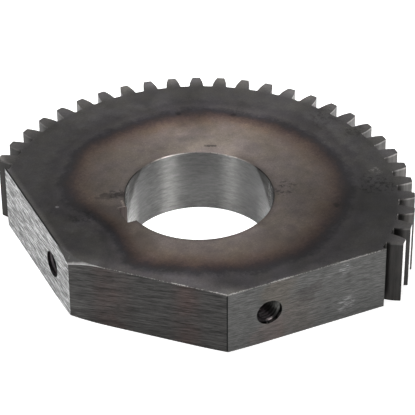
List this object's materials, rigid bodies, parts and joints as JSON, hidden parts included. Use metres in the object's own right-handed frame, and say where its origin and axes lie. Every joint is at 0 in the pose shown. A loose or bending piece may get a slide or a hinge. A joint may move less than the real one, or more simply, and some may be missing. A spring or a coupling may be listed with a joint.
{
  "type": "sector gear",
  "caption": "Steel sector gear: spur teeth on a curved rim, three flats opposite, a keyed bore and radial set-screw holes, made to swing a meshing pinion.",
  "frame": {"origin": "on the bore axis, on the lower face", "axes": "+Z along the bore, through the thickness; the keyway and the first set-screw hole point to -X, the second set-screw hole to -Y, the middle tooth to +X+Y"},
  "size_m": [0.1385, 0.1385, 0.026],
  "materials": {
    "gear_steel": "dark heat-tinted steel, sawn flats, ground bore"
  },
  "bodies": {
    "root": {"sector_gear": "gear_steel"}
  },
  "joints": []
}
